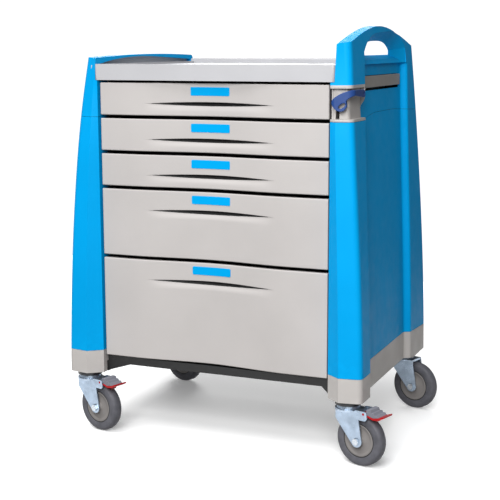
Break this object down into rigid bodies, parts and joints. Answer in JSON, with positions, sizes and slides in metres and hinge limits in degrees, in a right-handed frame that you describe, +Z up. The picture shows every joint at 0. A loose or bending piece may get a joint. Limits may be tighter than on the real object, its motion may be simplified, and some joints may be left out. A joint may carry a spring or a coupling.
{
  "type": "mobile ward drawer cabinet",
  "caption": "Bedside cabinet on swivel casters: stacked drawers with finger lips between flared moulded side covers, a push handle, a side shelf and a lock lever.",
  "frame": {"origin": "middle of the footprint's box on the floor, with the wheels trailing as in the rest pose", "axes": "+X towards the push handle, +Y towards the back, +Z up; the drawers face -Y"},
  "size_m": [0.841, 0.592, 1.006],
  "materials": {
    "cover_blue": "fine moulded texture, satin",
    "skirt_beige": "fine moulded texture, satin",
    "front_grey": "satin moulded plastic",
    "label_blue": "smooth",
    "tray_steel": "powder coat",
    "rail_zinc": "bright zinc plate",
    "fork_zinc": "blue zinc plate",
    "bolt_steel": "zinc plate",
    "hub_grey": "moulded nylon",
    "tyre_grey": "non-marking elastomer",
    "brake_red": "moulded, smooth",
    "pad_grey": "moulded, ribbed",
    "top_grey": "fine moulded texture",
    "shelf_grey": "satin moulded plastic",
    "lever_blue": "moulded, smooth",
    "mount_black": "black zinc",
    "base_black": "black powder coat",
    "body_black": "black powder coat",
    "back_grey": "powder coat"
  },
  "bodies": {
    "cabinet": {"base_frame": "base_black", "left_wall": "body_black", "right_wall": "body_black", "back_panel": "back_grey", "top_panel": "body_black", "fixed_rails": "rail_zinc", "cover_screws": "bolt_steel", "worktop": "top_grey", "left_skirt": "skirt_beige", "right_skirt": "skirt_beige", "left_lower_cover": "cover_blue", "right_lower_cover": "cover_blue", "left_upper_cover": "cover_blue", "right_upper_cover": "cover_blue", "lock_housing": "skirt_beige", "lock_pin": "bolt_steel", "caster_mounts": "mount_black"},
    "drawer_1": {"drawer_1_front": "front_grey", "drawer_1_label": "label_blue", "drawer_1_tray": "tray_steel"},
    "drawer_1_slides": {"drawer_1_middle_rails": "rail_zinc"},
    "drawer_2": {"drawer_2_front": "front_grey", "drawer_2_label": "label_blue", "drawer_2_tray": "tray_steel"},
    "drawer_2_slides": {"drawer_2_middle_rails": "rail_zinc"},
    "drawer_3": {"drawer_3_front": "front_grey", "drawer_3_label": "label_blue", "drawer_3_tray": "tray_steel"},
    "drawer_3_slides": {"drawer_3_middle_rails": "rail_zinc"},
    "drawer_4": {"drawer_4_front": "front_grey", "drawer_4_label": "label_blue", "drawer_4_tray": "tray_steel"},
    "drawer_4_slides": {"drawer_4_middle_rails": "rail_zinc"},
    "drawer_5": {"drawer_5_front": "front_grey", "drawer_5_label": "label_blue", "drawer_5_tray": "tray_steel"},
    "drawer_5_slides": {"drawer_5_middle_rails": "rail_zinc"},
    "side_shelf": {"side_shelf": "shelf_grey"},
    "lock_lever": {"lock_lever": "lever_blue"},
    "lock_bar": {"lock_bar": "bolt_steel"},
    "caster_front_left": {"fork_front_left": "fork_zinc", "axle_front_left": "bolt_steel"},
    "wheel_front_left": {"hub_front_left": "hub_grey", "tyre_front_left": "tyre_grey"},
    "brake_front_left": {"pedal_lever_front_left": "brake_red", "pedal_pad_front_left": "pad_grey"},
    "caster_front_right": {"fork_front_right": "fork_zinc", "axle_front_right": "bolt_steel"},
    "wheel_front_right": {"hub_front_right": "hub_grey", "tyre_front_right": "tyre_grey"},
    "brake_front_right": {"pedal_lever_front_right": "brake_red", "pedal_pad_front_right": "pad_grey"},
    "caster_rear_left": {"fork_rear_left": "fork_zinc", "axle_rear_left": "bolt_steel"},
    "wheel_rear_left": {"hub_rear_left": "hub_grey", "tyre_rear_left": "tyre_grey"},
    "caster_rear_right": {"fork_rear_right": "fork_zinc", "axle_rear_right": "bolt_steel"},
    "wheel_rear_right": {"hub_rear_right": "hub_grey", "tyre_rear_right": "tyre_grey"}
  },
  "joints": [
    {"name": "drawer_1_slide", "type": "slide", "parent": "cabinet", "child": "drawer_1", "axis": [0, -1, 0], "range_m": [0, 0.4]},
    {"name": "drawer_1_slides_run", "type": "slide", "parent": "cabinet", "child": "drawer_1_slides", "axis": [0, -1, 0], "range_m": [0, 0.2]},
    {"name": "drawer_2_slide", "type": "slide", "parent": "cabinet", "child": "drawer_2", "axis": [0, -1, 0], "range_m": [0, 0.4]},
    {"name": "drawer_2_slides_run", "type": "slide", "parent": "cabinet", "child": "drawer_2_slides", "axis": [0, -1, 0], "range_m": [0, 0.2]},
    {"name": "drawer_3_slide", "type": "slide", "parent": "cabinet", "child": "drawer_3", "axis": [0, -1, 0], "range_m": [0, 0.4]},
    {"name": "drawer_3_slides_run", "type": "slide", "parent": "cabinet", "child": "drawer_3_slides", "axis": [0, -1, 0], "range_m": [0, 0.2]},
    {"name": "drawer_4_slide", "type": "slide", "parent": "cabinet", "child": "drawer_4", "axis": [0, -1, 0], "range_m": [0, 0.4]},
    {"name": "drawer_4_slides_run", "type": "slide", "parent": "cabinet", "child": "drawer_4_slides", "axis": [0, -1, 0], "range_m": [0, 0.2]},
    {"name": "drawer_5_slide", "type": "slide", "parent": "cabinet", "child": "drawer_5", "axis": [0, -1, 0], "range_m": [0, 0.4]},
    {"name": "drawer_5_slides_run", "type": "slide", "parent": "cabinet", "child": "drawer_5_slides", "axis": [0, -1, 0], "range_m": [0, 0.2]},
    {"name": "side_shelf_slide", "type": "slide", "parent": "cabinet", "child": "side_shelf", "axis": [1, 0, 0], "range_m": [0, 0.26]},
    {"name": "lock_lever_turn", "type": "hinge", "parent": "cabinet", "child": "lock_lever", "pos_m": [0.31347, -0.17598, 0.853], "axis": [1, 0, 0], "range_deg": [0, 10]},
    {"name": "lock_bar_slide", "type": "slide", "parent": "cabinet", "child": "lock_bar", "axis": [0, 0, -1], "range_m": [0, 0.0034]},
    {"name": "swivel_front_left", "type": "hinge", "parent": "cabinet", "child": "caster_front_left", "pos_m": [-0.37653, -0.24798, 0.13], "axis": [0, 0, 1], "continuous": true},
    {"name": "spin_front_left", "type": "hinge", "parent": "caster_front_left", "child": "wheel_front_left", "pos_m": [-0.34, -0.25846, 0.0625], "axis": [0.2756, 0.9613, 0], "continuous": true},
    {"name": "brake_front_left_press", "type": "hinge", "parent": "caster_front_left", "child": "brake_front_left", "pos_m": [-0.3227, -0.26342, 0.131], "axis": [0.2756, 0.9613, 0], "range_deg": [0, 9]},
    {"name": "swivel_front_right", "type": "hinge", "parent": "cabinet", "child": "caster_front_right", "pos_m": [0.31147, -0.24798, 0.13], "axis": [0, 0, 1], "continuous": true},
    {"name": "spin_front_right", "type": "hinge", "parent": "caster_front_right", "child": "wheel_front_right", "pos_m": [0.348, -0.25846, 0.0625], "axis": [0.2756, 0.9613, 0], "continuous": true},
    {"name": "brake_front_right_press", "type": "hinge", "parent": "caster_front_right", "child": "brake_front_right", "pos_m": [0.3653, -0.26342, 0.131], "axis": [0.2756, 0.9613, 0], "range_deg": [0, 9]},
    {"name": "swivel_rear_left", "type": "hinge", "parent": "cabinet", "child": "caster_rear_left", "pos_m": [-0.37653, 0.23402, 0.13], "axis": [0, 0, 1], "continuous": true},
    {"name": "spin_rear_left", "type": "hinge", "parent": "caster_rear_left", "child": "wheel_rear_left", "pos_m": [-0.34, 0.22354, 0.0625], "axis": [0.2756, 0.9613, 0], "continuous": true},
    {"name": "swivel_rear_right", "type": "hinge", "parent": "cabinet", "child": "caster_rear_right", "pos_m": [0.31147, 0.23402, 0.13], "axis": [0, 0, 1], "continuous": true},
    {"name": "spin_rear_right", "type": "hinge", "parent": "caster_rear_right", "child": "wheel_rear_right", "pos_m": [0.348, 0.22354, 0.0625], "axis": [0.2756, 0.9613, 0], "continuous": true}
  ],
  "couplings": [
    {"joint": "drawer_1_slides_run", "follows": "drawer_1_slide", "ratio": 0.5},
    {"joint": "drawer_2_slides_run", "follows": "drawer_2_slide", "ratio": 0.5},
    {"joint": "drawer_3_slides_run", "follows": "drawer_3_slide", "ratio": 0.5},
    {"joint": "drawer_4_slides_run", "follows": "drawer_4_slide", "ratio": 0.5},
    {"joint": "drawer_5_slides_run", "follows": "drawer_5_slide", "ratio": 0.5},
    {"joint": "lock_lever_turn", "follows": "lock_bar_slide", "rad_per_m": 50}
  ]
}
